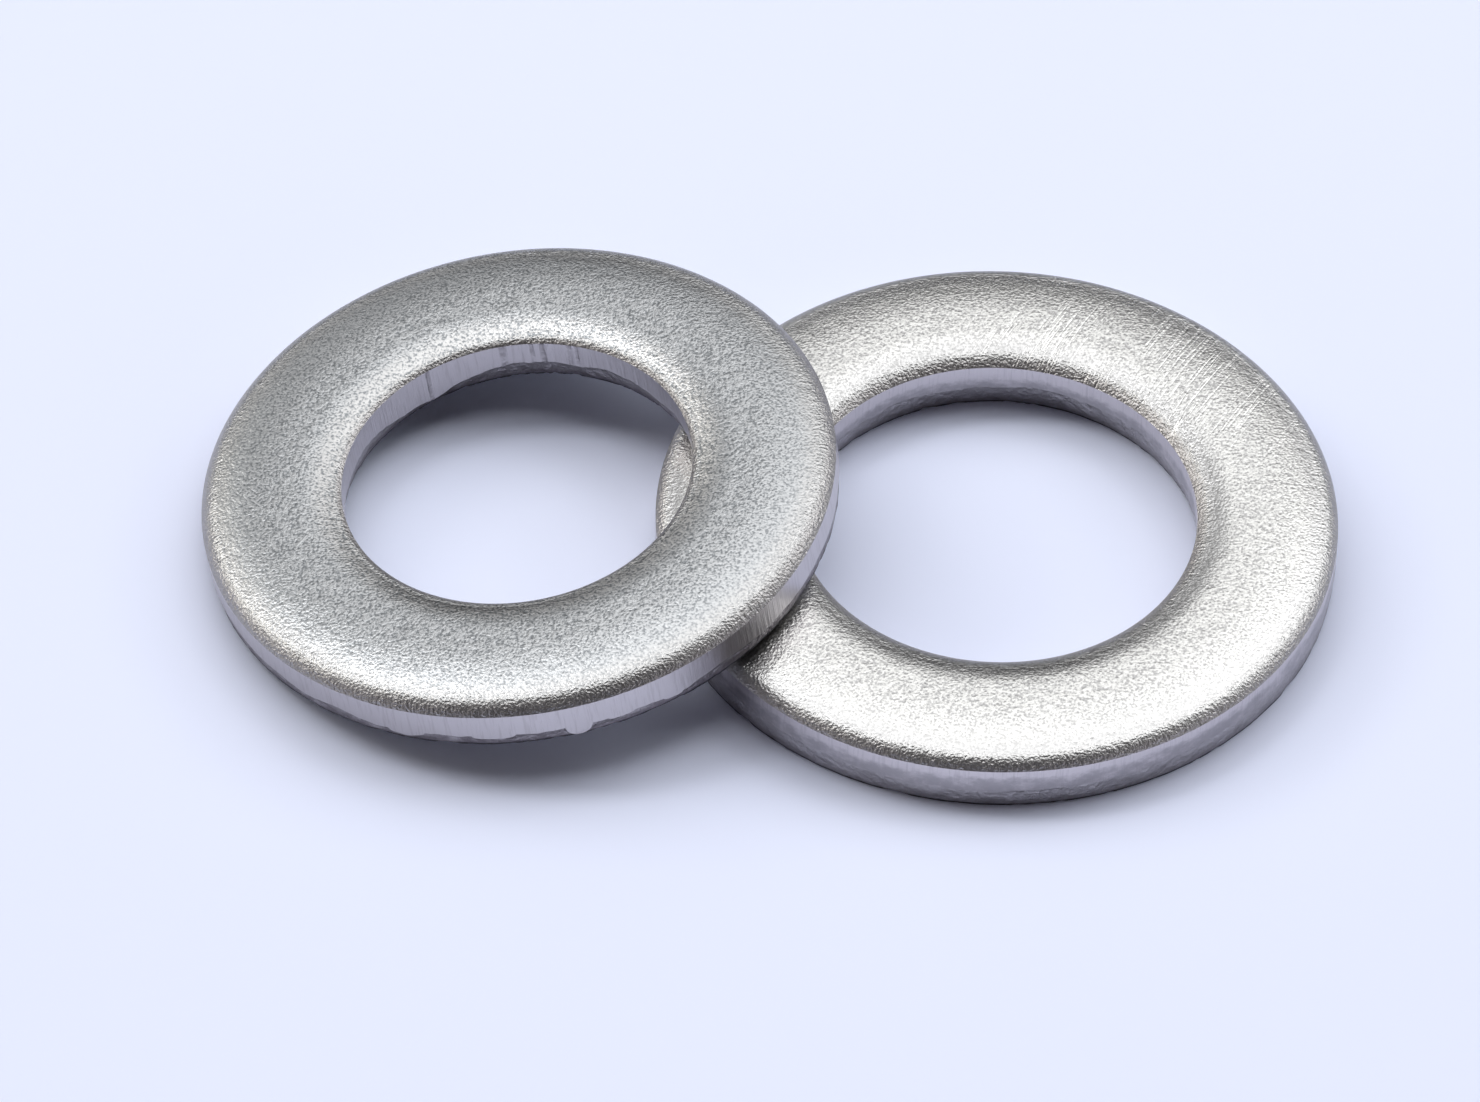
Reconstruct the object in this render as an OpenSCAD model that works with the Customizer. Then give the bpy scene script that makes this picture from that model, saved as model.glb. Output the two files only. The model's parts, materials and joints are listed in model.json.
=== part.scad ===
// Pair of flat washers, each punched from sheet steel in one stroke.
// The lower washer lies flat. The leaning one stands with its left edge on the
// same surface and its underside on the lower washer's rim.
// Millimetres, +Z up. +X runs from the leaning washer to the lower one, and the
// origin is on the surface, in the middle of the space that the pair takes up.

/* [Lower washer] */
// Outer diameter, over the burnished wall
lower_od = 16; // [15.8:0.1:17]
// Bore diameter, over the burnished wall
lower_bore = 9.4; // [9:0.1:9.6]
// Thickness of the sheet
lower_t = 1.6; // [1.5:0.05:1.8]
// Width of the tight roll at the bore
lower_bore_roll_w = 0.36; // [0.16:0.02:0.4]

/* [Leaning washer] */
// Outer diameter, over the burnished wall
leaning_od = 15; // [14.8:0.1:15.6]
// Bore diameter, over the burnished wall
leaning_bore = 8.3; // [8:0.1:8.6]
// Thickness of the sheet
leaning_t = 1.4; // [1.3:0.05:1.7]
// Width of the tight roll at the bore
leaning_bore_roll_w = 0.18; // [0.16:0.02:0.4]
// How far the middle of its underside is from the lower washer's axis, in plan
centre_distance = 11.1; // [10.9:0.05:11.3]

/* [Rolled-over edges of the top face] */
// Width of the whole rolled-over edge at the outer wall, crown and tight roll
outer_crown_w = 1.9; // [1.4:0.05:1.95]
// Width of the whole rolled-over edge at the bore
bore_crown_w = 1.05; // [0.9:0.05:1.1]
// Slope of a crown where the tight roll takes over, in degrees
crown_slope = 13; // [8:1:14]
// Width of the tight roll at the outer wall
outer_roll_w = 0.4; // [0.3:0.02:0.44]
// Slope of the roll where it meets the outer wall, in degrees
outer_slope = 50; // [44:1:54]
// Slope of the roll where it meets the bore, in degrees
bore_slope = 46; // [40:1:54]

/* [Walls] */
// Height of the burnished wall below the crease, above the part that broke away
land_h = 0.65; // [0.5:0.05:0.7]
// How far the broken wall draws in from the burnished one at the outer foot
outer_setback = 0.04; // [0.02:0.01:0.08]
// How far the broken wall opens out from the burnished one at the bore's foot
bore_setback = 0.14; // [0.04:0.01:0.16]

/* [Hidden] */
$fn = 180;

LOWER_COLOUR = [0.84, 0.84, 0.82];
LEANING_COLOUR = [0.64, 0.66, 0.64];

// A rolled-over edge is two arcs, tangent to each other: a shallow crown that
// leaves the flat of the face, and a tight roll that meets the wall in a crease
function crown_r(crown_w, roll_w) = (crown_w - roll_w) / sin(crown_slope);
function crown_drop(crown_w, roll_w) = crown_r(crown_w, roll_w) * (1 - cos(crown_slope));
function roll_r(roll_w, slope) = roll_w / (sin(slope) - sin(crown_slope));
function edge_drop(crown_w, roll_w, slope) =
    crown_drop(crown_w, roll_w) + roll_r(roll_w, slope) * (cos(crown_slope) - cos(slope));
outer_drop = edge_drop(outer_crown_w, outer_roll_w, outer_slope);

// Each arc is lifted by a hair, so that it crosses what it is tangent to
ARC_LIFT = 0.0001;
// How far the shapes that cut the section reach past the wall and the top face
PAST_WALL = 0.5;

// Drop of the outer rolled-over edge at a distance d in from the wall
function arc_drop(r, run) = r * (1 - cos(asin(run / r)));
function drop_at(d) =
    d >= outer_crown_w ? 0 :
    d >= outer_roll_w ? arc_drop(crown_r(outer_crown_w, outer_roll_w), outer_crown_w - d) :
    crown_drop(outer_crown_w, outer_roll_w) + roll_r(outer_roll_w, outer_slope) * (cos(crown_slope)
        - cos(asin(sin(crown_slope) + (outer_roll_w - d) / roll_r(outer_roll_w, outer_slope))));

// The leaning washer turns on the foot of its outer wall until its underside, at
// the foot of the bore or just past it, comes down on the lower washer's crown
foot_r = leaning_od / 2 - outer_setback;
bore_foot_r = leaning_bore / 2 + bore_setback;
REST_GAP = 0.004;
CONTACT_ANGLES = [0:1:24];
CONTACT_RADII = [bore_foot_r:0.05:bore_foot_r + 0.8];
function underside(r, angle, tilt) = [
    r * cos(angle) * cos(tilt) - centre_distance,
    r * sin(angle),
    foot_r * sin(tilt) + r * cos(angle) * sin(tilt)
];
function gap_below(p) = p.z - lower_t + drop_at(lower_od / 2 - norm([p.x, p.y]));
function least_gap(tilt) =
    min([for (angle = CONTACT_ANGLES, r = CONTACT_RADII) gap_below(underside(r, angle, tilt))]);
function resting_tilt(low, high, halvings) =
    halvings == 0 ? high :
    least_gap((low + high) / 2) > REST_GAP ? resting_tilt(low, (low + high) / 2, halvings - 1) :
    resting_tilt((low + high) / 2, high, halvings - 1);
LEAST_TILT = 2;
MOST_TILT = 14;
HALVINGS = 20;
tilt = resting_tilt(LEAST_TILT, MOST_TILT, HALVINGS);

// Places along X, so that the pair reaches as far to the left as to the right
leaning_reach = leaning_od / 2 * cos(tilt) + (leaning_t - outer_drop) * sin(tilt);
lower_x = (centre_distance + leaning_reach - lower_od / 2) / 2;
leaning_x = lower_x - centre_distance;
leaning_z = foot_r * sin(tilt);

// What is rolled away above an arc of the section, from x0 to past the wall. The
// wall is at x = 0, with the metal at x < 0
module above_arc(x0, centre, r) {
    difference() {
        translate([x0, centre.y]) square([PAST_WALL - x0, r + PAST_WALL]);
        translate(centre) circle(r);
    }
}

// What is rolled away from one edge, above its crown and its tight roll
module rolled_away(t, crown_w, roll_w, slope) {
    big_r = crown_r(crown_w, roll_w);
    small_r = roll_r(roll_w, slope);
    roll_top = t - crown_drop(crown_w, roll_w);
    roll_centre = [-roll_w - small_r * sin(crown_slope), roll_top - small_r * cos(crown_slope)];
    above_arc(-crown_w, [-crown_w, t - big_r + ARC_LIFT], big_r);
    above_arc(-roll_w, roll_centre + [0, 2 * ARC_LIFT], small_r);
}

// Section of a washer: a block with both walls, less what is rolled away
module washer_section(outer, inner, t, bore_roll_w) {
    outer_land_foot = t - outer_drop - land_h;
    bore_land_foot = t - edge_drop(bore_crown_w, bore_roll_w, bore_slope) - land_h;
    difference() {
        polygon([
            [inner + bore_setback, 0],
            [outer - outer_setback, 0],
            [outer, outer_land_foot],
            [outer, t],
            [inner, t],
            [inner, bore_land_foot]
        ]);
        translate([outer, 0]) rolled_away(t, outer_crown_w, outer_roll_w, outer_slope);
        translate([inner, 0]) mirror([1, 0])
            rolled_away(t, bore_crown_w, bore_roll_w, bore_slope);
    }
}

module washer(od, bore, t, bore_roll_w) {
    rotate_extrude() washer_section(od / 2, bore / 2, t, bore_roll_w);
}

module lower_washer() {
    color(LOWER_COLOUR)
        translate([lower_x, 0, 0])
            washer(lower_od, lower_bore, lower_t, lower_bore_roll_w);
}

module leaning_washer() {
    color(LEANING_COLOUR)
        translate([leaning_x, 0, leaning_z]) rotate([0, -tilt, 0])
            washer(leaning_od, leaning_bore, leaning_t, leaning_bore_roll_w);
}

lower_washer();
leaning_washer();
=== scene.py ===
# %% [markdown]
# # A pair of flat washers
#
# Two washers, punched from sheet steel, lie together on a pale surface. The
# bright one is flat on it. The grey one leans: its left edge is on the surface
# and its underside rests on the rim of the other.
#
# A solid model of the pair gives the sizes and the places. This script gives it
# the surfaces that a press leaves: rolled-over edges, a burnished band that the
# punch dragged smooth, and a torn band below it where the metal let go.

# %% Load the solid model
import json
import math

import bpy
import numpy as np
from mathutils import Matrix, Vector


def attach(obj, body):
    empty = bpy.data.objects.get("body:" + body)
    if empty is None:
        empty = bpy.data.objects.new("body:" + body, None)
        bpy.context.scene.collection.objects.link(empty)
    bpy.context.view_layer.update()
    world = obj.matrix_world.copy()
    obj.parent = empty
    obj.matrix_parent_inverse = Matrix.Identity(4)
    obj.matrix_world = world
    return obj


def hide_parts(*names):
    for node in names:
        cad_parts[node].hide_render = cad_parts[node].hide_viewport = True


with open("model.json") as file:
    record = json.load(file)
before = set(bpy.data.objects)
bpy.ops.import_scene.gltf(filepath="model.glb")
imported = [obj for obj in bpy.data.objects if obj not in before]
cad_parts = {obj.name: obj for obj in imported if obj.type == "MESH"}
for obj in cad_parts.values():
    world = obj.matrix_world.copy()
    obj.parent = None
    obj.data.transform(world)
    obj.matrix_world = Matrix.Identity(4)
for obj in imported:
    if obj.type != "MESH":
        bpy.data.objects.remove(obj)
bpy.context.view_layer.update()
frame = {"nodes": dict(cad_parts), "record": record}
MM = 0.001
mounts = {mount["name"]: mount for mount in frame["record"]["mounts"]}

# %% [markdown]
# ## Measure the two solids
#
# A washer's numbers could be typed in again, but then they could drift from the
# solid model. Each washer is measured instead. Its tilt comes from the axis in
# the record. The solid is turned upright about that axis, and then a plain box
# around it gives the outer diameter, the thickness and the underside's middle.

# %% Measure a washer
class Washer:
    """Sizes and place of one washer, read from its solid."""

    def __init__(self, node, bore):
        axis = Vector(mounts[bore]["axis"])
        self.tilt = math.atan(-axis.x / axis.z)
        upright = Matrix.Rotation(self.tilt, 4, "Y")
        places = np.array([upright @ v.co for v in frame["nodes"][node].data.vertices])
        low, high = places.min(axis=0), places.max(axis=0)
        middle = (low + high) / 2
        self.place = upright.inverted() @ Matrix.Translation((middle[0], middle[1], low[2]))
        self.outer = (high[0] - low[0]) / 2
        self.bore = mounts[bore]["dims"]["r_mm"] * MM
        self.thick = high[2] - low[2]
        sizes = [round(v / MM, 3) for v in (self.outer, self.bore, self.thick)]
        print(node, "radii and thickness, mm:", sizes, "tilt:", round(math.degrees(self.tilt), 2))


lower = Washer("lower_washer", "lower_bore")
leaning = Washer("leaning_washer", "leaning_bore")

# %% [markdown]
# ## The section that punching leaves
#
# The punch first pulls the skin of the sheet down, so both edges of the top
# face roll over: a wide shallow crown, then a tight roll, then a sharp crease.
# Below the crease the wall is burnished upright. Lower still the metal tore
# away, so the wall steps back and leans.
#
# The section could be drawn by hand as a list of points. Here it is worked out
# from the widths and slopes of its arcs, because two tangent arcs need only
# those, and each part of the wall can then follow its own ragged line. The
# creases stay within a twentieth of a millimetre of the solid model's.

# %% Sizes of the edges
OUTER_CROWN = 1.9 * MM
BORE_CROWN = 1.05 * MM
OUTER_CROWN_SLOPE = math.radians(13)
BORE_CROWN_SLOPE = math.radians(17)
LOWER_RIM_ROLL = 0.34 * MM
LEANING_RIM_ROLL = 0.40 * MM
LOWER_BORE_ROLL = 0.34 * MM
LEANING_BORE_ROLL = 0.18 * MM
RIM_SLOPE = math.radians(58)
BORE_SLOPE = math.radians(43)
CROWN_STEPS = 9
ROLL_STEPS = 7


# %% The arcs of one edge
class Edge:
    """A rolled-over edge: how far it drops below the face at each distance from the wall."""

    def __init__(self, crown, roll, crown_slope, slope):
        self.crown = crown
        self.roll = roll
        self.crown_slope = crown_slope
        self.slope = slope
        self.crown_r = (crown - roll) / math.sin(crown_slope)
        self.roll_r = roll / (math.sin(slope) - math.sin(crown_slope))
        self.crown_drop = self.crown_r * (1 - math.cos(crown_slope))
        self.drop = self.crown_drop + self.roll_r * (math.cos(crown_slope) - math.cos(slope))

    def points(self):
        """(distance from the wall, drop), from just off the flat to the crease."""
        found = []
        for step in range(1, CROWN_STEPS + 1):
            a = self.crown_slope * step / CROWN_STEPS
            found.append((self.crown - self.crown_r * math.sin(a), self.crown_r * (1 - math.cos(a))))
        for step in range(1, ROLL_STEPS + 1):
            a = self.crown_slope + (self.slope - self.crown_slope) * step / ROLL_STEPS
            across = self.roll_r * (math.sin(a) - math.sin(self.crown_slope))
            down = self.roll_r * (math.cos(self.crown_slope) - math.cos(a))
            found.append((self.roll - across, self.crown_drop + down))
        return found


lower.rim = Edge(OUTER_CROWN, LOWER_RIM_ROLL, OUTER_CROWN_SLOPE, RIM_SLOPE)
lower.hole = Edge(BORE_CROWN, LOWER_BORE_ROLL, BORE_CROWN_SLOPE, BORE_SLOPE)
leaning.rim = Edge(OUTER_CROWN, LEANING_RIM_ROLL, OUTER_CROWN_SLOPE, RIM_SLOPE)
leaning.hole = Edge(BORE_CROWN, LEANING_BORE_ROLL, BORE_CROWN_SLOPE, BORE_SLOPE)
for washer in (lower, leaning):
    print("drop at the rim and at the bore, mm:", [round(e.drop / MM, 3) for e in (washer.rim, washer.hole)])

# %% [markdown]
# ## Chance that closes on itself
#
# Torn metal is uneven, but the unevenness has to meet itself after one turn
# round the washer. A noise texture would need a path through it that closes.
# Random numbers on a closed ring of steps are simpler: they are blurred with a
# bell curve that wraps round, and then set to the size that is wanted.
#
# Where the smooth band reaches further down at one place, a dip is added to the
# line that ends it. A round dip is half an oval, like a tongue of metal, and a
# gentle one runs out level at both ends.

# %% Closed noise
STEPS = 1440
angles = np.arange(STEPS) * 2 * math.pi / STEPS
print("one step at the larger rim, mm:", round(lower.outer / MM * 2 * math.pi / STEPS, 3))


def ragged(chance, blur, size, rows=1):
    """Rows of noise round the washer, blurred over some steps, with a spread of size."""
    values = chance.normal(size=(rows, STEPS))
    turns = np.fft.fftfreq(STEPS)
    bell = np.exp(-2 * (math.pi * turns * blur) ** 2)
    values = np.fft.ifft(np.fft.fft(values) * bell).real
    if rows > 2:
        # Each inner row is eased into the rows beside it
        values[1:-1] = (values[:-2] + 2 * values[1:-1] + values[2:]) / 4
    return values * size / values.std()


# %% Dips at chosen places
ROUND = 0.5
GENTLE = 2


def dip(middle, width, depth, shape):
    """A dip round an angle, round or gentle; middle and width are in degrees."""
    away = (angles - math.radians(middle) + math.pi) % (2 * math.pi) - math.pi
    across = np.clip(np.abs(away) / math.radians(width / 2), 0, 1)
    return depth * (1 - across ** 2) ** shape


# %% [markdown]
# ## The two bands of a wall
#
# The punch drags the upper band smooth and upright. Below it the metal broke,
# so the wall steps in at a small ledge, is rough, and has chips along its foot.
#
# A texture could push an even wall in and out, but it would also blur the crease
# and the foot. Here each ring of points gets its own random offsets, so the
# crisp lines stay crisp and the wall never passes its true radius.

# %% Rings of the burnished band
FACE, BURNISHED, TORN, UNDERSIDE = range(4)
LAND_ROWS = 5
DRAG = 0.0016 * MM
DRAG_BLUR = 1.2


def land_rings(radius, outward, crease, tear, chance):
    """Rings as (radius, height, part), from just below the crease to the tear line."""
    drag = np.abs(ragged(chance, DRAG_BLUR, DRAG)[0])
    rings = []
    for row in range(1, LAND_ROWS + 1):
        share = row / LAND_ROWS
        rings.append((radius - outward * drag * share, crease + (tear - crease) * share, BURNISHED))
    return rings


# %% Rings of the torn band
TORN_ROWS = 8
TEAR = 0.007 * MM
TEAR_BLUR = 4.0
CHIP = 0.022 * MM
CHIP_BLUR = 3.0
TALLEST_CHIP = 0.5
LEDGE_SHARE = 0.1
FOOT_ROUGHNESS = 0.35
ROUGHNESS_RISE = 2


def torn_rings(radius, outward, tear, setback, ledge, chance):
    """Rings from the ledge under the tear line to the chipped foot."""
    tears = ragged(chance, TEAR_BLUR, TEAR, rows=TORN_ROWS)
    chips = np.maximum(ragged(chance, CHIP_BLUR, CHIP)[0], 0)
    foot = np.minimum(chips, tear * TALLEST_CHIP)
    rings = []
    for row in range(TORN_ROWS):
        share = LEDGE_SHARE + (1 - LEDGE_SHARE) * row / (TORN_ROWS - 1)
        rough = tears[row] * min(1, FOOT_ROUGHNESS + ROUGHNESS_RISE * (1 - share))
        inset = np.maximum(ledge + (setback - ledge) * share + rough, 0)
        rings.append((radius - outward * inset, tear + (foot - tear) * share, TORN))
    return rings


# %% The tear line
LAND = 0.65 * MM
WANDER = 0.030 * MM
WANDER_BLUR = 14.0
RIPPLE = WANDER / 4
RIPPLE_BLUR = 2.5
LEAST_TORN = 0.03 * MM


def tear_line(washer, edge, chance, dips=()):
    """Height of the line where the burnished band ends, round the washer."""
    line = washer.thick - edge.drop - LAND
    line = line + ragged(chance, WANDER_BLUR, WANDER)[0] + ragged(chance, RIPPLE_BLUR, RIPPLE)[0]
    for middle, width, depth, shape in dips:
        line = line - dip(middle, width, depth * MM, shape)
    return np.maximum(line, LEAST_TORN)


# %% [markdown]
# ## Turn the section into a washer
#
# A screw modifier would turn one section, but then every angle would be alike.
# The mesh is laid out instead, as rings of points round the axis, so
# that the line between the burnished and the torn band can wander, as it does
# on a real punched wall.

# %% Rings of a whole section
OUTER_SETBACK = 0.04 * MM
BORE_SETBACK = 0.14 * MM
FLAT_ROWS = 3


def wall_rings(radius, outward, crease, tear, setback, ledge, chance):
    """One wall, from just below the crease to the foot."""
    upper = land_rings(radius, outward, crease, tear, chance)
    return upper + torn_rings(radius, outward, tear, setback, ledge, chance)


def face_rings(washer):
    """The top face, from the crease at the bore to the crease at the rim."""
    face = [(washer.bore + away, drop) for away, drop in reversed(washer.hole.points())]
    flat_from, flat_to = washer.bore + washer.hole.crown, washer.outer - washer.rim.crown
    for row in range(FLAT_ROWS + 1):
        face.append((flat_from + (flat_to - flat_from) * row / FLAT_ROWS, 0))
    face += [(washer.outer - away, drop) for away, drop in washer.rim.points()]
    even = np.ones(STEPS)
    return [(even * radius, even * (washer.thick - drop), FACE) for radius, drop in face]


def section_rings(washer, outer_tear, bore_tear, ledge, chance):
    """All rings, from the bore's foot up, over the face and down to the outer foot."""
    bore_crease, outer_crease = washer.thick - washer.hole.drop, washer.thick - washer.rim.drop
    bore_wall = wall_rings(washer.bore, -1, bore_crease, bore_tear, BORE_SETBACK, ledge, chance)
    outer_wall = wall_rings(washer.outer, 1, outer_crease, outer_tear, OUTER_SETBACK, ledge, chance)
    return bore_wall[::-1] + face_rings(washer) + outer_wall


# %% Faces and crisp edges between rings
def ring_quads(count):
    """Four corners of each face. The last ring meets the first, which closes the underside."""
    ring = np.arange(count)[:, None]
    step = np.arange(STEPS)[None, :]
    above, after = (ring + 1) % count, (step + 1) % STEPS
    corners = [ring * STEPS + step, above * STEPS + step, above * STEPS + after, ring * STEPS + after]
    return np.stack(corners, axis=-1).reshape(-1, 4)


def sharpen(mesh, band):
    """Mark the edges crisp along each ring where one band ends and the next begins."""
    ends = np.zeros(len(mesh.edges) * 2, int)
    mesh.edges.foreach_get("vertices", ends)
    rings = ends.reshape(-1, 2) // STEPS
    crisp = [row for row in range(len(band)) if band[row] != band[row - 1]]
    mesh.edges.foreach_set("use_edge_sharp", (rings[:, 0] == rings[:, 1]) & np.isin(rings[:, 0], crisp))


# %% Build the mesh
def build_washer(name, washer, rings, materials):
    """A closed mesh of rings, with a material for each band and its upright place kept on it."""
    radii = np.array([ring[0] for ring in rings])
    heights = np.array([ring[1] for ring in rings])
    parts = np.array([ring[2] for ring in rings])
    local = np.stack([radii * np.cos(angles), radii * np.sin(angles), heights], axis=-1).reshape(-1, 3)
    quads = ring_quads(len(rings))
    band = np.maximum(parts, np.roll(parts, -1))
    band[-1] = UNDERSIDE
    place = np.array(washer.place)
    mesh = bpy.data.meshes.new(name)
    mesh.from_pydata((local @ place[:3, :3].T + place[:3, 3]).tolist(), [], quads.tolist())
    for material in materials:
        mesh.materials.append(material)
    mesh.polygons.foreach_set("material_index", np.repeat(band, STEPS))
    mesh.polygons.foreach_set("use_smooth", np.ones(len(quads), bool))
    sharpen(mesh, band)
    attribute = mesh.attributes.new("local", "FLOAT_VECTOR", "POINT")
    attribute.data.foreach_set("vector", local.astype(np.float32).ravel())
    piece = bpy.data.objects.new(name, mesh)
    bpy.context.scene.collection.objects.link(piece)
    print(name, "rings:", len(rings), "triangles:", 2 * len(quads))
    return piece


# %% [markdown]
# ## Sums on sockets
#
# Shader nodes can be wired by hand, but a dozen Math nodes hide what they work
# out. This small class wraps one socket and gives it Python's operators, so a
# line such as `1 - mask * 0.5` adds the nodes that it needs.

# %% A socket with arithmetic
class Wire:
    """An output socket in a material's node tree."""

    def __init__(self, tree, socket=None):
        self.tree = tree
        self.socket = socket

    def node(self, kind, settings, inputs, output=0):
        """Add any node: its settings first, then a value or a wire for each socket."""
        made = self.tree.nodes.new(kind)
        for name, value in settings.items():
            setattr(made, name, value)
        for name, value in inputs.items():
            if isinstance(value, Wire):
                self.tree.links.new(value.socket, made.inputs[name])
            else:
                made.inputs[name].default_value = value
        return Wire(self.tree, made.outputs[output] if made.outputs else None)

    def maths(self, operation, first, second):
        """One sum, on vectors where this socket is a vector and on numbers elsewhere."""
        if self.socket.type != "VECTOR":
            return self.node("ShaderNodeMath", {"operation": operation}, {0: first, 1: second})
        pair = [v if isinstance(v, (Wire, tuple)) else (v, v, v) for v in (first, second)]
        return self.node("ShaderNodeVectorMath", {"operation": operation}, {0: pair[0], 1: pair[1]})

    def __add__(self, other):
        return self.maths("ADD", self, other)

    def __radd__(self, other):
        return self.maths("ADD", other, self)

    def __sub__(self, other):
        return self.maths("SUBTRACT", self, other)

    def __rsub__(self, other):
        return self.maths("SUBTRACT", other, self)

    def __mul__(self, other):
        return self.maths("MULTIPLY", self, other)

    def __rmul__(self, other):
        return self.maths("MULTIPLY", other, self)

    def step(self, low, high):
        """A smooth step, from 0 at low to 1 at high."""
        ends = {"From Min": low, "From Max": high}
        return self.node("ShaderNodeMapRange", {"interpolation_type": "SMOOTHSTEP"}, {"Value": self, **ends})

    def blend(self, first, second):
        """The colour first where this mask is 0, and second where it is 1."""
        return self.node("ShaderNodeMix", {"data_type": "RGBA"}, {0: self, 6: first, 7: second}, 2)


# %% [markdown]
# ## Bare steel
#
# Every skin here is bare steel, so each material is one shader that is all
# metal. What differs is colour, roughness and relief, worked out from the place
# on the washer. Generated coordinates would stretch with the box around a
# leaning piece, so the mesh keeps its own upright place as an attribute.

# %% Start and end a material
def new_material(name):
    """An empty material, and a wire to add its nodes with."""
    material = bpy.data.materials.new(name)
    material.use_nodes = True
    material.node_tree.nodes.clear()
    return material, Wire(material.node_tree)


def finish_metal(start, base, roughness, normal):
    """Steel: all metal. The other three are wires or plain values."""
    settings = {"Metallic": 1.0, "Base Color": base, "Roughness": roughness, "Normal": normal}
    shader = start.node("ShaderNodeBsdfPrincipled", {}, settings)
    start.node("ShaderNodeOutputMaterial", {}, {"Surface": shader})


def relief(height):
    """A surface that a height wire, in millimetres, lifts."""
    return height.node("ShaderNodeBump", {}, {"Height": height, "Distance": MM, "Strength": 1.0})


# %% Places on the washer
def local_place(start):
    """The place on the washer itself, with its axis upright, in millimetres."""
    place = start.node("ShaderNodeAttribute", {"attribute_name": "local"}, {}, 1)
    return place * (1 / MM)


def height_of(place):
    """Height above the underside."""
    return place.node("ShaderNodeSeparateXYZ", {}, {0: place}, 2)


def polar(place):
    """Distance from the axis, and the direction from it as an arrow of length 1."""
    flat = place * (1.0, 1.0, 0.0)
    radius = flat.node("ShaderNodeVectorMath", {"operation": "LENGTH"}, {0: flat}, 1)
    return radius, flat.node("ShaderNodeVectorMath", {"operation": "NORMALIZE"}, {0: flat})


def noise(place, scale, detail=1.0, rough=0.5):
    """Soft noise; scale is how many lumps there are to a millimetre."""
    sockets = {"Vector": place, "Scale": scale, "Detail": detail, "Roughness": rough}
    return place.node("ShaderNodeTexNoise", {}, sockets, 0)


# %% [markdown]
# ## Where the edges are
#
# Rolling changes the skin near the bore and near the rim, and light and shade
# are painted there as well. A mask could be painted, but the distance from the
# axis says the same thing, and it stays right when a size changes.

# %% Masks by distance from the walls
def near_rim(radius, washer, near, far):
    """1 within near of the outer wall, and 0 past far from it; in millimetres."""
    return radius.step(washer.outer / MM - far, washer.outer / MM - near)


def near_bore(radius, washer, near, far):
    """1 within near of the bore's wall, and 0 past far from it; in millimetres."""
    return 1 - radius.step(washer.bore / MM + near, washer.bore / MM + far)


def near_edges(radius, washer, near, far):
    """1 within near of the bore or the outer wall, and 0 past far from both; in millimetres."""
    bore = washer.bore / MM
    return 1 - radius.step(bore + near, bore + far) * (1 - near_rim(radius, washer, near, far))


def on_rolls(radius, washer, near, far):
    """As near_edges, but near and far are shares of the width of each edge's tight roll."""
    bore, outer = washer.bore / MM, washer.outer / MM
    hole, rim = washer.hole.roll / MM, washer.rim.roll / MM
    off_hole = radius.step(bore + hole * near, bore + hole * far)
    return 1 - off_hole * (1 - radius.step(outer - rim * far, outer - rim * near))


# %% [markdown]
# ## Hairs and scratches
#
# The skin that rolls over an edge is stretched, which leaves fine hairs square
# to the edge. They come from noise that changes with the direction from the axis
# and hardly at all along the radius.
#
# The bright washer also has bundles of slanting scratches on one side. Curves
# laid on the face would look too regular, so noise is stretched one way and cut
# at a level that leaves thin lines. A second, broader noise gathers the lines
# into bundles.

# %% Hairs across the edges
HAIR_SCALE = 15.0
HAIR_REACH = 5.0
HAIR_STRETCH = 0.12


def hairs(radius, direction):
    """Fine lines square to both edges, 0 to 1."""
    along = radius.node("ShaderNodeCombineXYZ", {}, {2: radius * HAIR_STRETCH})
    return noise(direction * HAIR_REACH + along, HAIR_SCALE, detail=2.0, rough=0.6)


# %% Slanting scratches
SCRATCH_MIDDLE = (3.4, 5.0, 1.6)
SCRATCH_REACH = 5.0
SCRATCH_FADE = 0.6
SCRATCH_TURN = math.radians(-62)
SCRATCH_SCALE = 16.0
SCRATCH_SHAPE = (0.04, 1.0, 0.0)
SCRATCH_LEVELS = (0.50, 0.66)
BUNDLE_SCALE = 1.1
BUNDLE_SHAPE = (0.35, 1.0, 0.0)
BUNDLE_LEVELS = (0.40, 0.56)


def scratches(place):
    """Straight scratches in bundles, all in one direction, round one place on the face."""
    sockets = {"Vector": place, "Angle": SCRATCH_TURN}
    turned = place.node("ShaderNodeVectorRotate", {"rotation_type": "Z_AXIS"}, sockets)
    lines = noise(turned * SCRATCH_SHAPE, SCRATCH_SCALE).step(*SCRATCH_LEVELS)
    bundles = noise(turned * BUNDLE_SHAPE, BUNDLE_SCALE).step(*BUNDLE_LEVELS)
    away = place - SCRATCH_MIDDLE
    distance = away.node("ShaderNodeVectorMath", {"operation": "LENGTH"}, {0: away}, 1)
    return lines * bundles * (1 - distance.step(SCRATCH_REACH * SCRATCH_FADE, SCRATCH_REACH))


# %% [markdown]
# ## The tumbled faces
#
# Tumbling with grit leaves a fine, even grain: bumps and pits less than a tenth
# of a millimetre apart, on broader lumps and a slow wave. A flat grey with noise
# on its colour would look printed on, because its grain would not change with
# the light. So the grain is relief first, and its pits are painted a darker
# colour as well, as painted shade in the hollows, much darker on the grey washer
# than on the bright one.
#
# Near both edges the colour is painted light and shade: painted shade on the
# bright washer and a painted sheen on the grey one. The painted shade in the pits
# fades toward the rim. On the tight rolls the stretched skin is rougher and
# duller, and its colour there is partly painted light and shade as well. Round
# its bore the bright washer has a ring of painted shade.

# %% Relief of a face
GRAIN_SCALE = 16.0
LUMP_SCALE = 7.0
LUMP_SHARE = 0.8
WAVE_SCALE = 1.4
WAVE_HEIGHT = 0.010
HAIRY = (0.5, 1.4)
HAIR_HEIGHT = 0.018
EDGE_GRAIN = 0.016


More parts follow.
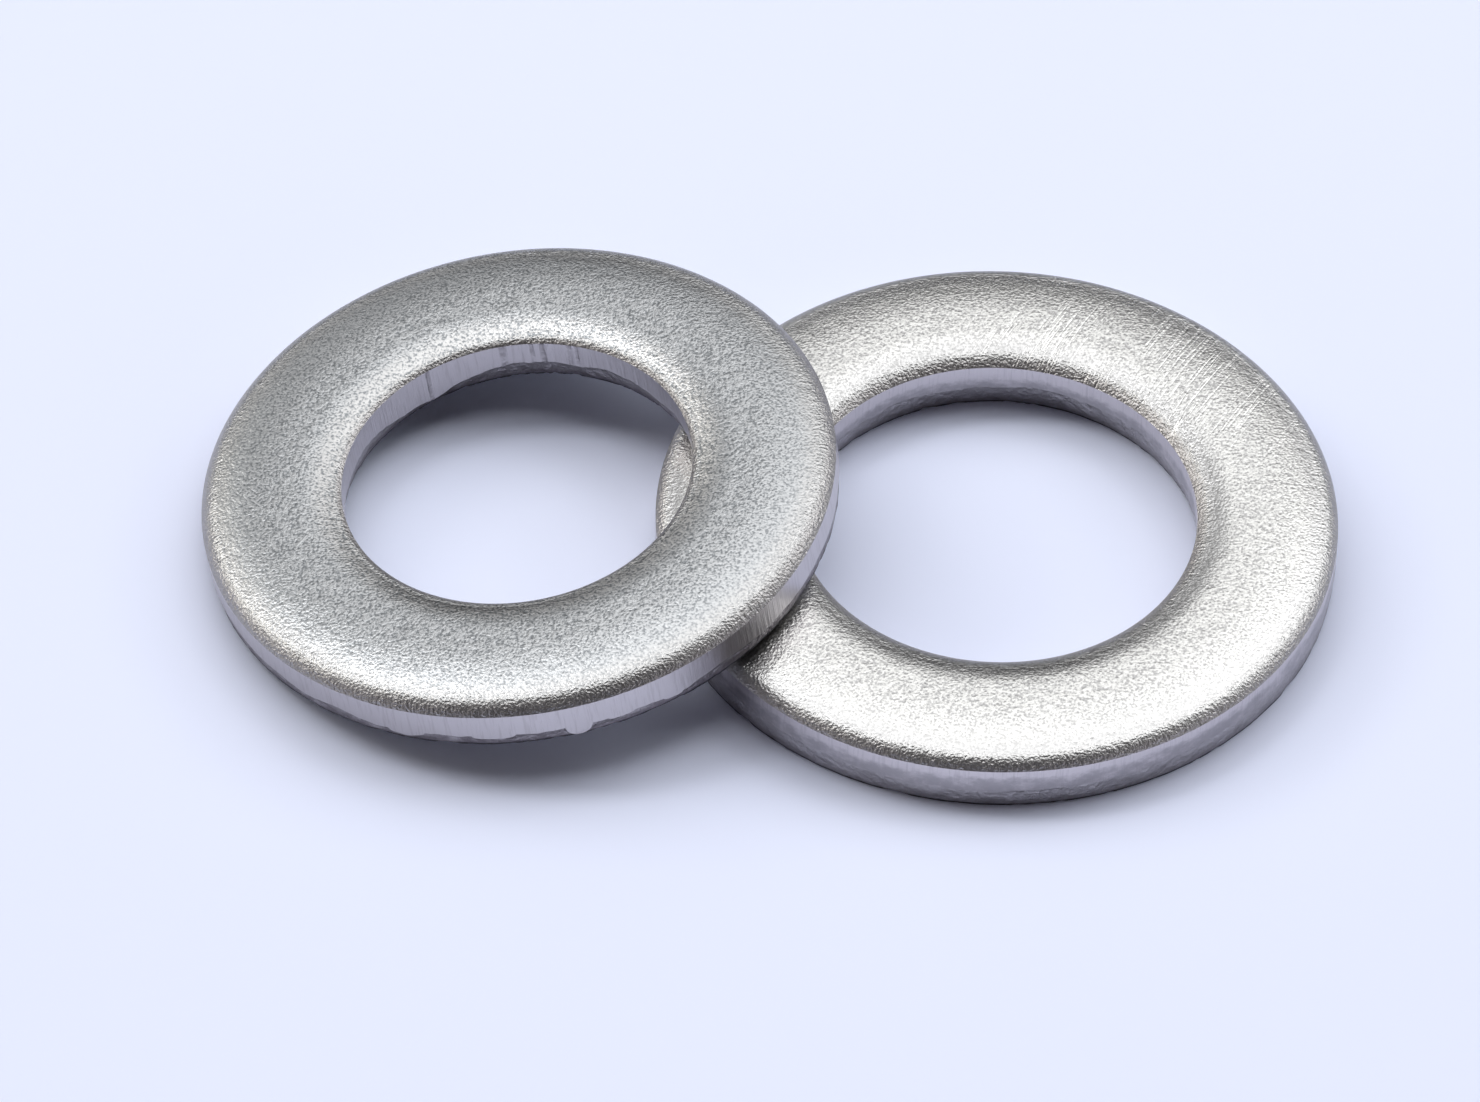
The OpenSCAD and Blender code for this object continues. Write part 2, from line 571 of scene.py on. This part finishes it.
def face_relief(place, washer, grain, depth):
    """Height of a tumbled face in millimetres, with hairs on its rolled edges."""
    radius, direction = polar(place)
    height = (grain + noise(place, LUMP_SCALE) * LUMP_SHARE) * depth
    height = height + noise(place, WAVE_SCALE) * WAVE_HEIGHT
    edge = on_rolls(radius, washer, *HAIRY)
    return height + (hairs(radius, direction) * HAIR_HEIGHT + grain * EDGE_GRAIN) * edge


# %% A tumbled skin
PAINTED_EDGE_REACH = (0.4, 0.9)
PIT_SHADE_LEVELS = (0.30, 0.60)
PIT_SHADE_RIM_REACH = (0.2, 1.3)
PIT_SHADE_RIM_FADE = 0.5
BORE_SHADE_REACH = (0.3, 0.9)
SCRATCH_HEIGHT = 0.005
SCRATCH_SHINE = 0.5
FRESH_STEEL = (0.75, 0.75, 0.74, 1)
ROLLED_SKIN_AND_SHADING = (0.44, 0.42, 0.42, 1)
ROLL_SKIN_AND_SHADING_REACH = (0.2, 0.8)
ROLL_SKIN_AND_SHADING_SHARE = 0.6
ROUGHENED = (0.4, 1.1)
ROLL_ROUGHNESS = 0.42


def tumbled(name, washer, base, pit_shade, painted_edge_shading, roughness, depth, bore_shade=0.0, scratched=False):
    """A grainy skin. The pits get painted shade in one colour, the edges painted light and shade in another;
    a share of painted shade rings the bore.
    """
    material, start = new_material(name)
    place = local_place(start)
    radius = polar(place)[0]
    grain = noise(place, GRAIN_SCALE)
    height = face_relief(place, washer, grain, depth)
    # Near both edges the colour is painted light and shade: painted shade on the bright washer, a painted
    # sheen on the grey one.
    colour = near_edges(radius, washer, *PAINTED_EDGE_REACH).blend(base, painted_edge_shading)
    # The pits, the low spots of the grain, are painted darker: painted shade in the hollows, which fades
    # toward the rim.
    pit_shade_mask = (1 - grain.step(*PIT_SHADE_LEVELS)) * (1 - near_rim(radius, washer, *PIT_SHADE_RIM_REACH) * PIT_SHADE_RIM_FADE)
    # A share of painted shade is added in a ring round the bore.
    colour = (pit_shade_mask + near_bore(radius, washer, *BORE_SHADE_REACH) * bore_shade).blend(colour, pit_shade)
    if scratched:
        scratch = scratches(place)
        height = height - scratch * SCRATCH_HEIGHT
        colour = (scratch * SCRATCH_SHINE).blend(colour, FRESH_STEEL)
    # On the rolls the colour is partly the stretched skin's duller tone and partly painted light and shade.
    colour = (on_rolls(radius, washer, *ROLL_SKIN_AND_SHADING_REACH) * ROLL_SKIN_AND_SHADING_SHARE).blend(colour, ROLLED_SKIN_AND_SHADING)
    roughness = roughness + on_rolls(radius, washer, *ROUGHENED) * (ROLL_ROUGHNESS - roughness)
    finish_metal(start, colour, roughness, relief(height))
    return material


# %% [markdown]
# ## The burnished band
#
# The punch leaves fine upright lines in this band, and the band is darker in
# patches that gather toward its foot. Round the bore of the grey washer a few lines are
# deeper, each where the punch dragged a crumb of steel down the wall.
# An image of lines would need its ends to meet. Noise that is squashed in height
# gives upright lines all round, and the deep ones are masks of the direction
# from the axis.

# %% Deep drag lines
def upright_marks(direction, drags):
    """Lines down the wall, each at an angle round the washer and of a width in degrees."""
    marks = 0.0
    for angle, width in drags:
        a, spread = math.radians(angle), math.radians(width / 2)
        sockets = {0: direction, 1: (math.cos(a), math.sin(a), 0.0)}
        facing = direction.node("ShaderNodeVectorMath", {"operation": "DOT_PRODUCT"}, sockets, 1)
        marks = facing.step(math.cos(spread), 1.0) + marks
    return marks


# %% A burnished skin
UPRIGHT = (1.0, 1.0, 0.06)
PATCHY = (0.6, 0.6, 1.0)
LINE_SCALE = 14.0
DARK_LINES = (0.34, 0.50)
LINE_HEIGHT = 0.010
PATCH_SCALE = 2.4
PATCH_STRENGTH = 2.0
DARK_PATCH_EDGE = (0.4, 1.2)
DRAG_LINE = (0.20, 0.18, 0.19, 1)
DRAG_GAPS = (0.30, 0.62)
DRAG_SHARE = 0.5
DRAG_HEIGHT = 0.012
LAND_ROUGHNESS = 0.32


def burnished(name, base, dark_tone, low, high, streak, drags=()):
    """The smooth band. Dark patches grow from the height high down to the height low."""
    material, start = new_material(name)
    place = local_place(start)
    lines = noise(place * UPRIGHT, LINE_SCALE, detail=3.0, rough=0.7)
    patches = noise(place * PATCHY, PATCH_SCALE, detail=4.0, rough=0.7)
    darkened = (patches * PATCH_STRENGTH - height_of(place).step(low, high)).step(*DARK_PATCH_EDGE)
    colour = ((1 - lines.step(*DARK_LINES)) * streak).blend(darkened.blend(base, dark_tone), dark_tone)
    height = lines * LINE_HEIGHT
    if drags:
        marks = upright_marks(polar(place)[1], drags) * patches.step(*DRAG_GAPS)
        colour = (marks * DRAG_SHARE).blend(colour, DRAG_LINE)
        height = height - marks * DRAG_HEIGHT
    finish_metal(start, colour, LAND_ROUGHNESS, relief(height))
    return material


# %% [markdown]
# ## The torn band
#
# Where the metal broke, the wall is dull and gets darker toward its foot, in
# patches. On the bright washer the two bands run into each other: the metal gave
# way more softly there, so its torn band starts almost as light as the band
# above. A plain fade would look sprayed on, so noise is added to the height
# before the height picks the colour.

# %% A torn skin
MOTTLE_SCALE = 5.0
MOTTLE_STRENGTH = 2.2
MOTTLE_EDGE = (0.15, 0.95)
FOOT_SHADOW_LINE = (0.04, 0.04, 0.05, 1)
FOOT_SHADOW_HEIGHTS = (0.02, 0.07)
FACET_SCALE = 7.0
FACET_HEIGHT = 0.05
TORN_ROUGHNESS = 0.42


def torn(name, top, foot, depth):
    """The wall below the tear: top colour at the height depth, foot colour at the bottom."""
    material, start = new_material(name)
    place = local_place(start)
    height = height_of(place)
    mottle = noise(place * PATCHY, MOTTLE_SCALE, detail=4.0, rough=0.7) - 0.5
    share = (height * (1 / depth) + mottle * MOTTLE_STRENGTH).step(*MOTTLE_EDGE)
    # A near-black line at the very foot is painted shadow, where the wall meets the surface below.
    colour = height.step(*FOOT_SHADOW_HEIGHTS).blend(FOOT_SHADOW_LINE, share.blend(foot, top))
    facets = noise(place, FACET_SCALE, detail=3.0, rough=0.6)
    finish_metal(start, colour, TORN_ROUGHNESS, relief(facets * FACET_HEIGHT))
    return material


# %% [markdown]
# ## Make both washers
#
# Each washer has four skins, one for each band of its section and one for its
# underside. The steel is alike, so the same three kinds of skin serve both, in
# darker colours on the grey washer. One mesh could be copied and scaled for the
# other, but the copies would tear along the same line, so each is built anew.
#
# The ledge under the tear line is hardly there on the bright washer and clear on
# the grey one. The dips of the grey washer's tear line are placed by angle, with
# the tongue on the near side as the deepest of those on the rim. Each washer has
# its own seed, so a change to one leaves the other as it was.

# %% Skins of the bright washer
bright_materials = [
    tumbled("bright_face", lower, base=(0.52, 0.52, 0.51, 1), pit_shade=(0.30, 0.30, 0.30, 1),
            painted_edge_shading=(0.44, 0.44, 0.44, 1), roughness=0.27, depth=0.012, bore_shade=0.2, scratched=True),
    burnished("bright_land", base=(0.68, 0.64, 0.66, 1), dark_tone=(0.42, 0.40, 0.42, 1),
              low=0.75, high=1.25, streak=0.3),
    torn("bright_torn", top=(0.50, 0.48, 0.50, 1), foot=(0.38, 0.36, 0.38, 1), depth=0.5),
    tumbled("bright_underside", lower, base=(0.46, 0.44, 0.42, 1), pit_shade=(0.36, 0.34, 0.32, 1),
            painted_edge_shading=(0.46, 0.44, 0.42, 1), roughness=0.40, depth=0.014),
]
print("bright skins:", [material.name for material in bright_materials])

# %% Skins of the grey washer
# Each drag line: angle and width in degrees
BORE_DRAGS = [(124, 2.2), (98, 3.0), (88.5, 1.8), (85, 2.4), (76, 2.2), (73.5, 1.8)]
grey_materials = [
    tumbled("matte_face", leaning, base=(0.39, 0.40, 0.41, 1), pit_shade=(0.17, 0.18, 0.19, 1),
            painted_edge_shading=(0.41, 0.41, 0.41, 1), roughness=0.29, depth=0.010),
    burnished("matte_land", base=(0.59, 0.56, 0.58, 1), dark_tone=(0.42, 0.39, 0.40, 1),
              low=-0.6, high=0.5, streak=0.4, drags=BORE_DRAGS),
    torn("matte_torn", top=(0.40, 0.38, 0.40, 1), foot=(0.22, 0.20, 0.22, 1), depth=0.4),
    tumbled("matte_underside", leaning, base=(0.42, 0.40, 0.38, 1), pit_shade=(0.28, 0.26, 0.24, 1),
            painted_edge_shading=(0.42, 0.40, 0.38, 1), roughness=0.45, depth=0.012),
]
print("grey skins:", [material.name for material in grey_materials])

# %% The bright washer
SOFT_LEDGE = 0.003 * MM
LOWER_SEED = 7

chance = np.random.default_rng(LOWER_SEED)
outer_tear = tear_line(lower, lower.rim, chance)
bore_tear = tear_line(lower, lower.hole, chance)
lower_rings = section_rings(lower, outer_tear, bore_tear, SOFT_LEDGE, chance)
lower_piece = build_washer("bright_washer", lower, lower_rings, bright_materials)
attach(lower_piece, "root")
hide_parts("lower_washer")

# %% The grey washer
# Each dip: middle and width in degrees, depth in millimetres, shape
RIM_DIPS = [(252, 7, 0.13, ROUND), (268, 8, 0.13, ROUND), (283.2, 4.8, 0.30, ROUND),
            (291, 5, 0.06, ROUND), (301, 4, 0.07, ROUND)]
BORE_DIPS = [(126, 56, 0.26, GENTLE), (83, 40, -0.05, GENTLE)]
CLEAR_LEDGE = 0.012 * MM
LEANING_SEED = 11

chance = np.random.default_rng(LEANING_SEED)
outer_tear = tear_line(leaning, leaning.rim, chance, RIM_DIPS)
bore_tear = tear_line(leaning, leaning.hole, chance, BORE_DIPS)
leaning_rings = section_rings(leaning, outer_tear, bore_tear, CLEAR_LEDGE, chance)
leaning_piece = build_washer("grey_washer", leaning, leaning_rings, grey_materials)
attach(leaning_piece, "root")
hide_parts("leaning_washer")

# %% [markdown]
# ## The surface below
#
# The pair lies on smooth card of a pale cool colour. Card scatters its light
# evenly, so one diffuse shader on a flat plane is enough. A shiny floor would
# mirror the washers, and a small one would end in view. This one is wide, which
# also sends light up onto the walls.

# %% Floor
FLOOR_SIZE = 4.0
FLOOR_COLOUR = (0.77, 0.82, 1.0, 1)

bpy.ops.mesh.primitive_plane_add(size=FLOOR_SIZE)
floor = bpy.context.object
floor.name = "floor"
floor_material, start = new_material("pale_card")
card = start.node("ShaderNodeBsdfDiffuse", {}, {"Color": FLOOR_COLOUR})
start.node("ShaderNodeOutputMaterial", {}, {"Surface": card})
floor.data.materials.append(floor_material)
print("floor, m:", list(floor.dimensions)[:2])

# %% [markdown]
# ## Soft light
#
# Bare steel shows what it faces, more than any colour of its own. Nearly all the
# light comes from above and behind, and the side of the camera is dim. That is
# why the near edges end in a dark line and the far ones in a light one.
#
# One large lamp would be simpler, but every slope of the steel would then show
# the same brightness. Here the light is a ceiling of flat panels, each with its
# own glow, so that the faces shade slowly from one side to the other. A few
# lights round the sides reach the rolled edges and the walls, and a dim room
# keeps the deepest shade from going black.

# %% Tints and one soft light
WARM = (1.0, 0.97, 0.91)
NEUTRAL = (1.0, 1.0, 1.0)
ROSY = (1.0, 0.92, 0.94)
COOL = (0.86, 0.94, 1.0)


def soft_light(name, width, height, glow, tint):
    """A flat soft light. Its power grows with its size, so glow alone sets how bright it looks."""
    data = bpy.data.lights.new(name, "AREA")
    data.shape = "RECTANGLE"
    data.size = width
    data.size_y = height
    data.color = tint
    data.energy = glow * math.pi * width * height
    lamp = bpy.data.objects.new(name, data)
    lamp.visible_camera = False
    bpy.context.scene.collection.objects.link(lamp)
    return lamp


# %% Lights round the sides
# Each light: name, direction and angle from straight up in degrees, width and height in metres, glow, tint
SIDE_LIGHTS = [
    ("left_low", 175, 68, 0.35, 0.40, 1.5, WARM),
    ("left_front", 208, 46, 0.35, 0.40, 0.3, ROSY),
    ("right_low", 8, 66, 0.35, 0.40, 1.2, NEUTRAL),
    ("front_left_low", 218, 76, 0.60, 0.36, 0.6, ROSY),
    ("front_right_low", 322, 76, 0.80, 0.36, 0.8, ROSY),
]
LIGHT_DISTANCE = 1.0

for name, azimuth, zenith, width, height, glow, tint in SIDE_LIGHTS:
    a, z = math.radians(azimuth), math.radians(zenith)
    direction = Vector((math.cos(a) * math.sin(z), math.sin(a) * math.sin(z), math.cos(z)))
    lamp = soft_light(name, width, height, glow, tint)
    lamp.location = direction * LIGHT_DISTANCE
    lamp.rotation_euler = direction.to_track_quat("Z", "Y").to_euler()
print("lights round the sides:", len(SIDE_LIGHTS))

# %% A ceiling of panels
# Each panel: name, left, right, near and far side in metres, glow, tint
PANELS = [
    ("overhead", -0.33, 0.33, 0.0, 0.21, 3.0, NEUTRAL),
    ("right_side", 1.00, 2.25, 0.21, 0.48, 1.6, COOL),
    ("left", -1.00, -0.33, 0.21, 0.48, 6.8, NEUTRAL),
    ("middle", -0.33, 0.33, 0.21, 0.48, 2.45, NEUTRAL),
    ("right", 0.33, 1.00, 0.21, 0.48, 3.2, NEUTRAL),
    ("right_back", 0.33, 1.00, 0.48, 0.82, 4.2, NEUTRAL),
    ("right_far_back", 0.33, 1.00, 0.82, 1.42, 1.5, NEUTRAL),
    ("middle_back", -0.33, 0.33, 0.48, 0.90, 2.1, NEUTRAL),
    ("middle_far_back", -0.33, 0.33, 0.90, 1.42, 1.75, NEUTRAL),
    ("left_back", -1.00, -0.33, 0.48, 1.42, 0.7, NEUTRAL),
    ("far_left", -2.25, -1.00, 0.21, 1.42, 4.2, WARM),
    ("far_right", 1.00, 2.25, 0.48, 1.42, 3.2, NEUTRAL),
    ("right_horizon", 0.00, 1.00, 1.42, 3.00, 0.36, NEUTRAL),
    ("middle_horizon", -0.55, 0.00, 1.42, 3.00, 0.20, NEUTRAL),
    ("left_horizon", -1.40, -0.55, 1.60, 3.00, 1.15, NEUTRAL),
]
CEILING = 1.0

for name, left, right, near, far, glow, tint in PANELS:
    lamp = soft_light(name, right - left, far - near, glow, tint)
    lamp.location = ((left + right) / 2, (near + far) / 2, CEILING)
print("panels:", len(PANELS))

# %% A dim room
ROOM = (0.022, 0.018, 0.020, 1)

world = bpy.data.worlds.new("room")
world.use_nodes = True
world.node_tree.nodes["Background"].inputs["Color"].default_value = ROOM
bpy.context.scene.world = world

# %% [markdown]
# ## The camera
#
# The picture was taken from a quarter of a metre away, looking down at about 47
# degrees, with a long lens. A camera could be aimed at the middle of the pair,
# but the outlines of both rings then land a little off. The place and angles
# below were found by matching those outlines instead.

# %% Camera
CAMERA_PLACE = Vector((4.4215, -170.0588, 184.4442)) * MM
PAN = -0.02996
PITCH = 0.82657
ROLL = 0.01169
SENSOR = 36.0
PICTURE_WIDTH = 1480
FOCAL_PIXELS = 10664.9
NEAREST = 0.01

forward = Vector((math.sin(PAN) * math.cos(PITCH), math.cos(PAN) * math.cos(PITCH), -math.sin(PITCH)))
level_right = Vector((math.cos(PAN), -math.sin(PAN), 0))
level_up = level_right.cross(forward)
to_right = math.cos(ROLL) * level_right + math.sin(ROLL) * level_up
to_top = math.cos(ROLL) * level_up - math.sin(ROLL) * level_right
camera_data = bpy.data.cameras.new("camera")
camera_data.sensor_width = SENSOR
camera_data.lens = SENSOR * FOCAL_PIXELS / PICTURE_WIDTH
camera_data.clip_start = NEAREST
camera = bpy.data.objects.new("camera", camera_data)
turned = Matrix((to_right, to_top, -forward)).transposed().to_4x4()
camera.matrix_world = Matrix.Translation(CAMERA_PLACE) @ turned
bpy.context.scene.collection.objects.link(camera)
bpy.context.scene.camera = camera
bpy.context.scene.view_settings.view_transform = "Standard"
print("camera to the pair, mm:", round(CAMERA_PLACE.length / MM), "lens, mm:", round(camera_data.lens))
